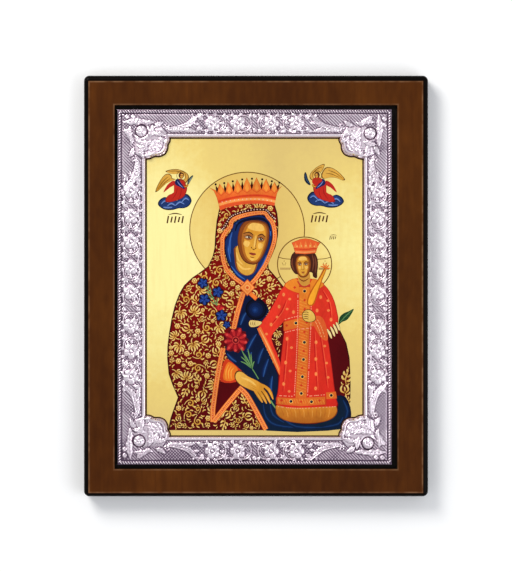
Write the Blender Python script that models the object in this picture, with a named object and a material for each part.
"""Icon panel: a wooden board with a routed recess, a gilded picture plate and an embossed silver frame.

The panel lies on its back, with its picture facing up. Metres, +Z up, +Y towards the top of the
picture, and the origin at the middle of the board's underside.
"""

import math
from collections import namedtuple

import bmesh
import bpy
from mathutils import Matrix, Vector

MM = 0.001
WELD = 0.001 * MM

# Wooden board
BOARD_WIDTH = 220.0 * MM
BOARD_HEIGHT = 269.0 * MM
BOARD_THICKNESS = 16.0 * MM
BOARD_CORNER_RADIUS = 3.4 * MM
FRONT_EDGE_RADIUS = 2.8 * MM
BACK_EDGE_CHAMFER = 0.8 * MM

# Recess that is routed into the board's face
SIDE_BORDER = 19.7 * MM
TOP_BORDER = 19.0 * MM
BOTTOM_BORDER = 17.6 * MM
RECESS_DEPTH = 4.5 * MM
RECESS_CORNER_RADIUS = 1.8 * MM
RECESS_CHAMFER = 0.7 * MM
CORNER_SEGMENTS = 5
FRONT_EDGE_SEGMENTS = 4

# Silver frame, which stands in the recess with a groove all round it, a little left of the middle
GROOVE_WIDTH = 2.8 * MM
FRAME_SHIFT = -0.9 * MM
BAND_WIDTH = 17.4 * MM
ROPE_WIDTH = 2.5 * MM
ROPE_SEGMENTS = 6
LIP_WIDTH = 1.9 * MM
LIP_HEIGHT = 0.6 * MM
LIP_GROOVE_WIDTH = 0.6 * MM
LIP_GROOVE_DEPTH = 0.35 * MM
RIM_WALL = 2.0 * MM
SHEET_THICKNESS = 1.2 * MM

# Picture plate under the silver frame
PLATE_THICKNESS = 2.2 * MM
PLATE_CLEARANCE = 0.4 * MM
SEAT_GAP = 0.3 * MM

# Heights of the relief above the frame's field
FLOWER_HEIGHT = 1.3 * MM
LEAF_HEIGHT = 0.9 * MM
FLUTE_HEIGHT = 0.7 * MM
KNOP_HEIGHT = 2.0 * MM
CARTOUCHE_HEIGHT = 0.8 * MM
STEM_RADIUS = 0.6 * MM

# Plan sizes of the relief
MIDDLE_GAP = 2.1 * MM
SIDE_MIRROR_DROP = 14.0 * MM
CORNER_ZONE = 52.0 * MM
BOUNDARY_OVERLAP = 8.0 * MM
KNOP_RADIUS = 3.6 * MM
BUD_RADIUS = 1.6 * MM
CARTOUCHE_REACH_X = 14.8 * MM
CARTOUCHE_REACH_Y = 12.8 * MM

# The vine, as shares of half the field's width
TURN_SPACING = 2.62
FLOWER_RADIUS = 0.79
STEM_TURN = 0.84
STEM_LEAD = 0.55
STEM_START = 70
STEM_STEP = 24
STEM_POINTS = 10

# Leaves beside each flower: where the stalk is, length, width and bow, and the turn in degrees
VINE_LEAVES = (
    (1.00, 0.36, 0.70, 0.40, 0.06, 52),
    (1.04, -0.42, 0.64, 0.36, -0.06, -38),
)

# The corner ornament, as shares of the band's width measured from the frame's outer corner
CARTOUCHE_HEEL = 0.60
KNOP_PLACE = (0.87, 0.79)
SHELL_PLACE = (1.20, 1.20)
SHELL_FLUTES = 5
SHELL_START = 0.12
FLUTE_LENGTH = 0.36
FLUTE_WIDTH = 0.125
SHELL_TURN = (-5, -85)
BUD_PLACES = ((0.34, 0.26), (0.57, 0.26))

# Each corner leaf: name, where its stalk is (along, inset), length, width, bow, turn in degrees, and
# whether it lies on the cartouche
CORNER_LEAVES = (
    ("broad_leaf", 0.20, 0.46, 1.00, 0.20, 0.03, 0, False),
    ("outer_leaf", 0.46, 1.02, 0.38, 0.17, 0.02, 88, False),
    ("inner_leaf", 1.22, 0.98, 0.36, 0.17, -0.02, 84, True),
    ("crescent_leaf", 0.70, 1.12, 0.62, 0.20, -0.10, 4, True),
    ("heel_leaf", 1.12, 1.40, 0.36, 0.17, 0.02, 165, True),
)

# How a cushion-shaped form widens towards its root and narrows towards its crown
ROOT_SPREAD = 1.25
SHOULDER_SHARE = 0.62

# What follows from them
RECESS_WIDTH = BOARD_WIDTH - 2 * SIDE_BORDER
RECESS_HEIGHT = BOARD_HEIGHT - TOP_BORDER - BOTTOM_BORDER
RECESS_MIDDLE = Vector((0.0, (BOTTOM_BORDER - TOP_BORDER) / 2, 0.0))
RECESS_FLOOR = BOARD_THICKNESS - RECESS_DEPTH
FRAME_MIDDLE = RECESS_MIDDLE + Vector((FRAME_SHIFT, 0.0, 0.0))
FRAME_WIDTH = RECESS_WIDTH - 2 * GROOVE_WIDTH
FRAME_HEIGHT = RECESS_HEIGHT - 2 * GROOVE_WIDTH
PLATE_WIDTH = FRAME_WIDTH - 2 * (RIM_WALL + PLATE_CLEARANCE)
PLATE_HEIGHT = FRAME_HEIGHT - 2 * (RIM_WALL + PLATE_CLEARANCE)
SEAT = RECESS_FLOOR + SEAT_GAP
PLATE_TOP = SEAT + PLATE_THICKNESS
SHEET_UNDERSIDE = PLATE_TOP + SEAT_GAP
FIELD_TOP = SHEET_UNDERSIDE + SHEET_THICKNESS
FIELD_OUTER = ROPE_WIDTH
FIELD_INNER = BAND_WIDTH - LIP_WIDTH - LIP_GROOVE_WIDTH
FIELD_MIDDLE = (FIELD_OUTER + FIELD_INNER) / 2
FIELD_HALF = (FIELD_INNER - FIELD_OUTER) / 2
RELIEF_ROOT = SHEET_THICKNESS / 2
CARTOUCHE_ROOT = SHEET_THICKNESS * 0.8

# The rails run clockwise from the top left corner. The vine of the side rails turns about a point
# below their middle.
Rail = namedtuple("Rail", "run out half_run half_across mirror_point")
RAILS = (
    Rail(Vector((1, 0, 0)), Vector((0, 1, 0)), FRAME_WIDTH / 2, FRAME_HEIGHT / 2, 0.0),
    Rail(Vector((0, -1, 0)), Vector((1, 0, 0)), FRAME_HEIGHT / 2, FRAME_WIDTH / 2, SIDE_MIRROR_DROP),
    Rail(Vector((-1, 0, 0)), Vector((0, -1, 0)), FRAME_WIDTH / 2, FRAME_HEIGHT / 2, 0.0),
    Rail(Vector((0, 1, 0)), Vector((-1, 0, 0)), FRAME_HEIGHT / 2, FRAME_WIDTH / 2, -SIDE_MIRROR_DROP),
)
RAIL_NAMES = ("top", "right", "bottom", "left")
CORNER_SIGNS = ((-1, 1), (1, 1), (1, -1), (-1, -1))


def clear_scene():
    for old in list(bpy.data.objects):
        bpy.data.objects.remove(old, do_unlink=True)


def collection(name):
    made = bpy.data.collections.new(name)
    bpy.context.scene.collection.children.link(made)
    return made


def material(name, colour, roughness, metallic):
    made = bpy.data.materials.new(name)
    made.use_nodes = True
    shader = made.node_tree.nodes["Principled BSDF"]
    shader.inputs["Base Color"].default_value = (*colour, 1.0)
    shader.inputs["Roughness"].default_value = roughness
    shader.inputs["Metallic"].default_value = metallic
    return made


def mesh_object(name, bm, group):
    """Turns a bmesh into an object of the collection, with its faces pointing out and its rounds smooth."""
    bmesh.ops.recalc_face_normals(bm, faces=bm.faces)
    mesh = bpy.data.meshes.new(name)
    bm.to_mesh(mesh)
    bm.free()
    mesh.shade_smooth()
    mesh.set_sharp_from_angle(angle=math.radians(32))
    made = bpy.data.objects.new(name, mesh)
    group.objects.link(made)
    return made


def curve_to_mesh(curve_object, group):
    """Replaces a curve by its mesh, with the loose caps welded on."""
    graph = bpy.context.evaluated_depsgraph_get()
    mesh = bpy.data.meshes.new_from_object(curve_object.evaluated_get(graph))
    bm = bmesh.new()
    bm.from_mesh(mesh)
    bmesh.ops.remove_doubles(bm, verts=bm.verts, dist=WELD)
    made = mesh_object(curve_object.name + "_solid", bm, group)
    made.matrix_world = curve_object.matrix_world
    bpy.data.objects.remove(curve_object, do_unlink=True)
    bpy.data.meshes.remove(mesh)
    return made


def rounded_block(middle, width, height, low, high, corner_radius):
    """A block between two levels, with its four upright edges rounded."""
    bm = bmesh.new()
    size = Matrix.Diagonal((width, height, high - low, 1))
    place = Matrix.Translation(middle + Vector((0, 0, (low + high) / 2)))
    bmesh.ops.create_cube(bm, size=1.0, matrix=place @ size)
    upright = [e for e in bm.edges if abs(e.verts[0].co.z - e.verts[1].co.z) > (high - low) / 2]
    bmesh.ops.bevel(bm, geom=upright, offset=corner_radius, offset_type="OFFSET",
                    segments=CORNER_SEGMENTS, profile=0.5, affect="EDGES")
    return bm


def rim_edges(bm, level):
    """The edges that lie at one level."""
    return [e for e in bm.edges if all(abs(v.co.z - level) < WELD for v in e.verts)]


def face_at(bm, level):
    """The one horizontal face at a level."""
    return next(f for f in bm.faces if all(abs(v.co.z - level) < WELD for v in f.verts))


def recess_cutter(group):
    """The router's path: a rounded block whose top flares out, which breaks the edge of the recess."""
    shoulder = BOARD_THICKNESS - RECESS_CHAMFER
    bm = rounded_block(RECESS_MIDDLE, RECESS_WIDTH, RECESS_HEIGHT, RECESS_FLOOR, shoulder,
                       RECESS_CORNER_RADIUS)
    for step_out, step_up in ((RECESS_CHAMFER, RECESS_CHAMFER), (0.0, RECESS_DEPTH)):
        grown = bmesh.ops.extrude_face_region(bm, geom=[face_at(bm, max(v.co.z for v in bm.verts))])
        for v in (g for g in grown["geom"] if isinstance(g, bmesh.types.BMVert)):
            outward = v.co - RECESS_MIDDLE
            v.co.x += math.copysign(step_out, outward.x)
            v.co.y += math.copysign(step_out, outward.y)
            v.co.z += step_up
        inner = [f for f in bm.faces if all(len(e.link_faces) > 2 for e in f.edges)]
        bmesh.ops.delete(bm, geom=inner, context="FACES")
    made = mesh_object("recess_cutter", bm, group)
    made.hide_render = True
    made.display_type = "WIRE"
    return made


def make_board(group, cutters, finish):
    bm = rounded_block(Vector(), BOARD_WIDTH, BOARD_HEIGHT, 0.0, BOARD_THICKNESS, BOARD_CORNER_RADIUS)
    bmesh.ops.bevel(bm, geom=rim_edges(bm, BOARD_THICKNESS), offset=FRONT_EDGE_RADIUS,
                    offset_type="OFFSET", segments=FRONT_EDGE_SEGMENTS, profile=0.5, affect="EDGES")
    bmesh.ops.bevel(bm, geom=rim_edges(bm, 0.0), offset=BACK_EDGE_CHAMFER,
                    offset_type="OFFSET", segments=1, profile=0.5, affect="EDGES")
    board = mesh_object("board", bm, group)
    board.data.materials.append(finish)
    cut = board.modifiers.new("recess", "BOOLEAN")
    cut.operation = "DIFFERENCE"
    cut.object = recess_cutter(cutters)
    return board


def make_picture_plate(group, finish):
    bm = bmesh.new()
    size = Matrix.Diagonal((PLATE_WIDTH, PLATE_HEIGHT, PLATE_THICKNESS, 1))
    middle = FRAME_MIDDLE + Vector((0, 0, (SEAT + PLATE_TOP) / 2))
    bmesh.ops.create_cube(bm, size=1.0, matrix=Matrix.Translation(middle) @ size)
    plate = mesh_object("picture_plate", bm, group)
    plate.data.materials.append(finish)
    return plate


def frame_profile():
    """The frame's section as (inset from its outer edge, height): rope bead, field, groove, lip, rebate."""
    bead = ROPE_WIDTH / 2
    turns = [math.pi * step / ROPE_SEGMENTS for step in range(ROPE_SEGMENTS + 1)]
    bead_points = [(bead - bead * math.cos(t), FIELD_TOP + bead * math.sin(t)) for t in turns]
    lip_start = BAND_WIDTH - LIP_WIDTH
    lip = [
        (FIELD_INNER, FIELD_TOP),
        (FIELD_INNER + LIP_GROOVE_WIDTH / 2, FIELD_TOP - LIP_GROOVE_DEPTH),
        (lip_start, FIELD_TOP),
        (lip_start + LIP_WIDTH * 0.3, FIELD_TOP + LIP_HEIGHT),
        (lip_start + LIP_WIDTH * 0.8, FIELD_TOP + LIP_HEIGHT),
        (BAND_WIDTH, FIELD_TOP + LIP_HEIGHT * 0.3),
        (BAND_WIDTH, SHEET_UNDERSIDE),
    ]
    rebate = [(RIM_WALL, SHEET_UNDERSIDE), (RIM_WALL, SEAT), (0.0, SEAT)]
    return bead_points + lip + rebate


def mitred_frame(group, finish):
    """Spins the section in four steps, which gives a square with mitred corners, and stretches it."""
    reach = max(FRAME_WIDTH, FRAME_HEIGHT)
    bm = bmesh.new()
    corners = [bm.verts.new((reach - inset, reach - inset, level)) for inset, level in frame_profile()]
    edges = [bm.edges.new((a, b)) for a, b in zip(corners, corners[1:] + corners[:1])]
    bmesh.ops.spin(bm, geom=corners + edges, cent=(0, 0, 0), axis=(0, 0, 1), dvec=(0, 0, 0),
                   angle=math.tau, steps=4, use_merge=True, use_duplicate=False)
    for v in bm.verts:
        inset = reach - abs(v.co.x)
        v.co.x = math.copysign(FRAME_WIDTH / 2 - inset, v.co.x)
        v.co.y = math.copysign(FRAME_HEIGHT / 2 - inset, v.co.y)
    bmesh.ops.translate(bm, verts=bm.verts, vec=FRAME_MIDDLE)
    made = mesh_object("silver_frame", bm, group)
    made.data.materials.append(finish)
    return made


def rail_matrix(rail, along, inset, turn=0.0, flip=False):
    """Places a form that is drawn flat: x along the rail, y outwards, z up from the field."""
    place = FRAME_MIDDLE + rail.run * along + rail.out * (rail.half_across - inset)
    place += Vector((0, 0, FIELD_TOP))
    axes = Matrix((rail.run, rail.out, Vector((0, 0, 1)))).transposed().to_4x4()
    mirror = Matrix.Diagonal((-1 if flip else 1, 1, 1, 1))
    return Matrix.Translation(place) @ axes @ mirror @ Matrix.Rotation(turn, 4, "Z")


def corner_matrix(rail, place, turn=0.0):
    """Places a form near the corner where a rail starts; its place is a share of the band's width."""
    along, inset = place
    return rail_matrix(rail, along * BAND_WIDTH - rail.half_run, inset * BAND_WIDTH, turn)


def low_form(name, outline, crown, matrix, group, base=0.0):
    """A cushion-shaped form on a flat outline. It stands on a base height and is rooted below the field."""
    bm = bmesh.new()
    middle = Vector((sum(x for x, _ in outline), sum(y for _, y in outline), 0)) / len(outline)
    foot = [middle + (Vector((x, y, 0)) - middle) * ROOT_SPREAD for x, y in outline]
    root = bm.faces.new([bm.verts.new((v.x, v.y, -RELIEF_ROOT)) for v in foot])
    grown = bmesh.ops.extrude_face_region(bm, geom=[root], use_keep_orig=True)
    top = next(g for g in grown["geom"] if isinstance(g, bmesh.types.BMFace))
    for v in top.verts:
        v.co = middle + (v.co - middle) * (SHOULDER_SHARE / ROOT_SPREAD)
        v.co.z = base + crown * SHOULDER_SHARE
    for v in bmesh.ops.poke(bm, faces=[top])["verts"]:
        v.co.z = base + crown
    bm.transform(matrix)
    return mesh_object(name, bm, group)


def flower_outline(radius, petals, points_per_petal=2):
    count = petals * points_per_petal
    turns = [math.tau * step / count for step in range(count)]
    reaches = [radius * (0.82 + 0.18 * math.cos(petals * t)) for t in turns]
    return [(reach * math.cos(t), reach * math.sin(t)) for reach, t in zip(reaches, turns)]


def leaf_outline(length, width, bow=0.0, side_points=3):
    """A pointed leaf from the origin along x, bent sideways by its bow."""
    def at(share, side):
        across = side * width / 2 * math.sin(math.pi * share ** 0.8)
        return (length * share, across + bow * math.sin(math.pi * share))

    steps = [step / side_points for step in range(side_points + 1)]
    return [at(s, 1) for s in steps] + [at(s, -1) for s in reversed(steps[1:-1])]


def wire(name, points, matrix, group, height=0.0):
    """A half-sunk stem along flat points."""
    curve = bpy.data.curves.new(name, "CURVE")
    curve.dimensions = "3D"
    curve.bevel_depth = STEM_RADIUS
    curve.bevel_resolution = 0
    curve.use_fill_caps = True
    spline = curve.splines.new("POLY")
    spline.points.add(len(points) - 1)
    for point, (x, y) in zip(spline.points, points):
        point.co = (*(matrix @ Vector((x, y, height))), 1.0)
    made = bpy.data.objects.new(name, curve)
    group.objects.link(made)
    bpy.context.view_layer.update()
    return curve_to_mesh(made, group)


def smooth_path(anchors, steps):
    """Points on a smooth curve through the anchors."""
    ends = [anchors[0]] + list(anchors) + [anchors[-1]]
    points = []
    for a, b, c, d in zip(ends, ends[1:], ends[2:], ends[3:]):
        for step in range(steps):
            t = step / steps
            points.append(tuple(
                0.5 * (2 * q + (r - p) * t + (2 * p - 5 * q + 4 * r - s) * t * t
                       + (3 * q - p - 3 * r + s) * t ** 3)
                for p, q, r, s in zip(a, b, c, d)))
    return points + [tuple(anchors[-1])]


def vine_turn(rail, number, side, name, group):
    """One turn of the vine: a flower, the C-shaped stem that holds it, and the leaves beyond it."""
    spacing = TURN_SPACING * FIELD_HALF
    first = MIDDLE_GAP + (STEM_TURN + STEM_LEAD) * FIELD_HALF
    along = rail.mirror_point + side * (first + spacing * number)
    matrix = rail_matrix(rail, along, FIELD_MIDDLE, flip=side < 0)
    upward = 1 if number % 2 else -1
    reach = STEM_TURN * FIELD_HALF
    turns = [math.radians(STEM_START + STEM_STEP * step) for step in range(STEM_POINTS)]
    stem = [(reach * math.cos(t) - STEM_LEAD * FIELD_HALF, upward * reach * math.sin(t)) for t in turns]
    tail = (spacing * 0.45, -upward * reach * 0.85)
    wire(f"{name}_stem", stem + [tail], matrix, group)
    low_form(f"{name}_flower", flower_outline(FLOWER_RADIUS * FIELD_HALF, petals=7), FLOWER_HEIGHT,
             matrix, group)
    for leaf, (x, y, length, width, bow, turn) in enumerate(VINE_LEAVES):
        outline = leaf_outline(length * FIELD_HALF, width * FIELD_HALF, bow * FIELD_HALF)
        stalk = Matrix.Translation((x * FIELD_HALF, upward * y * FIELD_HALF, 0))
        spread = Matrix.Rotation(math.radians(upward * turn), 4, "Z")
        low_form(f"{name}_leaf_{leaf}", outline, LEAF_HEIGHT, matrix @ stalk @ spread, group)


def boundary_line(rail, side, name, group):
    """The long raised line that parts the corner's hatched ground from the vine."""
    line = smooth_path([
        (rail.half_run - CORNER_ZONE * 0.62, -BAND_WIDTH * 0.68),
        (rail.half_run - CORNER_ZONE * 0.79, -BAND_WIDTH * 0.57),
        (rail.half_run - CORNER_ZONE * 0.885, -BAND_WIDTH * 0.42),
        (rail.half_run - CORNER_ZONE, -FIELD_OUTER),
    ], 4)
    wire(f"{name}_boundary", line, rail_matrix(rail, 0, 0, flip=side < 0), group)


def make_vine(rail, name, group):
    """The vine of one rail, from its mirror point out to both boundary lines, with a bud between."""
    for side, side_name in ((-1, "start"), (1, "end")):
        run = rail.half_run - side * rail.mirror_point - CORNER_ZONE + BOUNDARY_OVERLAP - MIDDLE_GAP
        for number in range(int(run / (TURN_SPACING * FIELD_HALF))):
            vine_turn(rail, number, side, f"{name}_{side_name}_{number}", group)
        boundary_line(rail, side, f"{name}_{side_name}", group)
    outline = flower_outline(BUD_RADIUS, petals=3)
    matrix = rail_matrix(rail, rail.mirror_point, FIELD_OUTER + BUD_RADIUS)
    low_form(f"{name}_middle_bud", outline, LEAF_HEIGHT, matrix, group)


def cartouche_edge(reach_x, reach_y):
    """The lobed edge of the corner cartouche past the band, measured from the frame's outer corner."""
    shares = [
        (1.00, -0.05), (1.04, 0.16), (0.95, 0.38), (0.93, 0.60), (0.82, 0.82),
        (0.62, 0.92), (0.40, 0.93), (0.20, 1.03), (-0.05, 1.06),
    ]
    return [(BAND_WIDTH + u * reach_x, BAND_WIDTH + v * reach_y) for u, v in smooth_path(shares, 3)]


def make_cartouche(signs, name, group):
    """The corner's scrolled shield, which laps over the lip and into the picture, with a raised rim."""
    sign_x, sign_y = signs
    corner = FRAME_MIDDLE + Vector((sign_x * FRAME_WIDTH / 2, sign_y * FRAME_HEIGHT / 2, FIELD_TOP))
    matrix = Matrix.Translation(corner) @ Matrix.Diagonal((-sign_x, -sign_y, 1, 1))
    heel = BAND_WIDTH * CARTOUCHE_HEEL
    outline = cartouche_edge(CARTOUCHE_REACH_X, CARTOUCHE_REACH_Y) + [
        (heel, BAND_WIDTH + CARTOUCHE_REACH_Y * 0.8),
        (heel, heel),
        (BAND_WIDTH + CARTOUCHE_REACH_X * 0.7, heel),
    ]
    bm = bmesh.new()
    face = bm.faces.new([bm.verts.new((x, y, -CARTOUCHE_ROOT)) for x, y in outline])
    grown = bmesh.ops.extrude_face_region(bm, geom=[face], use_keep_orig=True)
    for v in (g for g in grown["geom"] if isinstance(g, bmesh.types.BMVert)):
        v.co.z = CARTOUCHE_HEIGHT
    bm.transform(matrix)
    mesh_object(f"{name}_cartouche", bm, group)
    rim = cartouche_edge(CARTOUCHE_REACH_X - 2 * STEM_RADIUS, CARTOUCHE_REACH_Y - 2 * STEM_RADIUS)
    wire(f"{name}_cartouche_rim", rim, matrix, group, CARTOUCHE_HEIGHT)


def make_knop(rail, name, group):
    """The round boss beside the inner corner."""
    bm = bmesh.new()
    dome = Matrix.Diagonal((KNOP_RADIUS, KNOP_RADIUS, KNOP_HEIGHT, 1))
    bmesh.ops.create_uvsphere(bm, u_segments=14, v_segments=8, radius=1.0, matrix=dome)
    cut = bmesh.ops.bisect_plane(bm, geom=bm.verts[:] + bm.edges[:] + bm.faces[:], clear_inner=True,
                                 plane_co=(0, 0, -RELIEF_ROOT), plane_no=(0, 0, 1))
    rim = [g for g in cut["geom_cut"] if isinstance(g, bmesh.types.BMEdge)]
    bmesh.ops.edgeloop_fill(bm, edges=rim)
    bm.transform(corner_matrix(rail, KNOP_PLACE))
    mesh_object(f"{name}_knop", bm, group)


def corner_ornament(rail, name, group):
    """The leaves round the knop, the fluted shell on the cartouche and the buds in the outer corner."""
    for leaf, along, inset, length, width, bow, turn, on_cartouche in CORNER_LEAVES:
        outline = leaf_outline(length * BAND_WIDTH, width * BAND_WIDTH, bow * BAND_WIDTH)
        matrix = corner_matrix(rail, (along, inset), math.radians(turn))
        base = CARTOUCHE_HEIGHT if on_cartouche else 0.0
        low_form(f"{name}_{leaf}", outline, LEAF_HEIGHT, matrix, group, base)
    first_turn, last_turn = SHELL_TURN
    step = Matrix.Translation((BAND_WIDTH * SHELL_START, 0, 0))
    flute_form = leaf_outline(BAND_WIDTH * FLUTE_LENGTH, BAND_WIDTH * FLUTE_WIDTH)
    for flute in range(SHELL_FLUTES):
        turn = first_turn + (last_turn - first_turn) * flute / (SHELL_FLUTES - 1)
        matrix = corner_matrix(rail, SHELL_PLACE, math.radians(turn)) @ step
        low_form(f"{name}_flute_{flute}", flute_form, FLUTE_HEIGHT, matrix, group, CARTOUCHE_HEIGHT)
    for number, place in enumerate(BUD_PLACES):
        outline = flower_outline(BUD_RADIUS, petals=4)
        low_form(f"{name}_bud_{number}", outline, LEAF_HEIGHT, corner_matrix(rail, place), group)


def emboss(frame, relief):
    """Joins the relief to the sheet, as one pressing."""
    joined = frame.modifiers.new("embossing", "BOOLEAN")
    joined.operation = "UNION"
    joined.operand_type = "COLLECTION"
    joined.collection = relief
    for form in relief.objects:
        form.hide_render = True
        form.display_type = "WIRE"


def main():
    clear_scene()
    parts = collection("icon_panel")
    cutters = collection("cutters")
    relief = collection("relief_forms")
    walnut = material("walnut_stain", (0.11, 0.035, 0.012), 0.35, 0.0)
    gilding = material("gilding", (0.80, 0.62, 0.22), 0.35, 0.6)
    silver = material("silver", (0.72, 0.68, 0.72), 0.3, 1.0)
    make_board(parts, cutters, walnut)
    make_picture_plate(parts, gilding)
    frame = mitred_frame(parts, silver)
    for rail, name, signs in zip(RAILS, RAIL_NAMES, CORNER_SIGNS):
        make_vine(rail, name, relief)
        make_cartouche(signs, name, relief)
        make_knop(rail, name, relief)
        corner_ornament(rail, name, relief)
    emboss(frame, relief)


main()
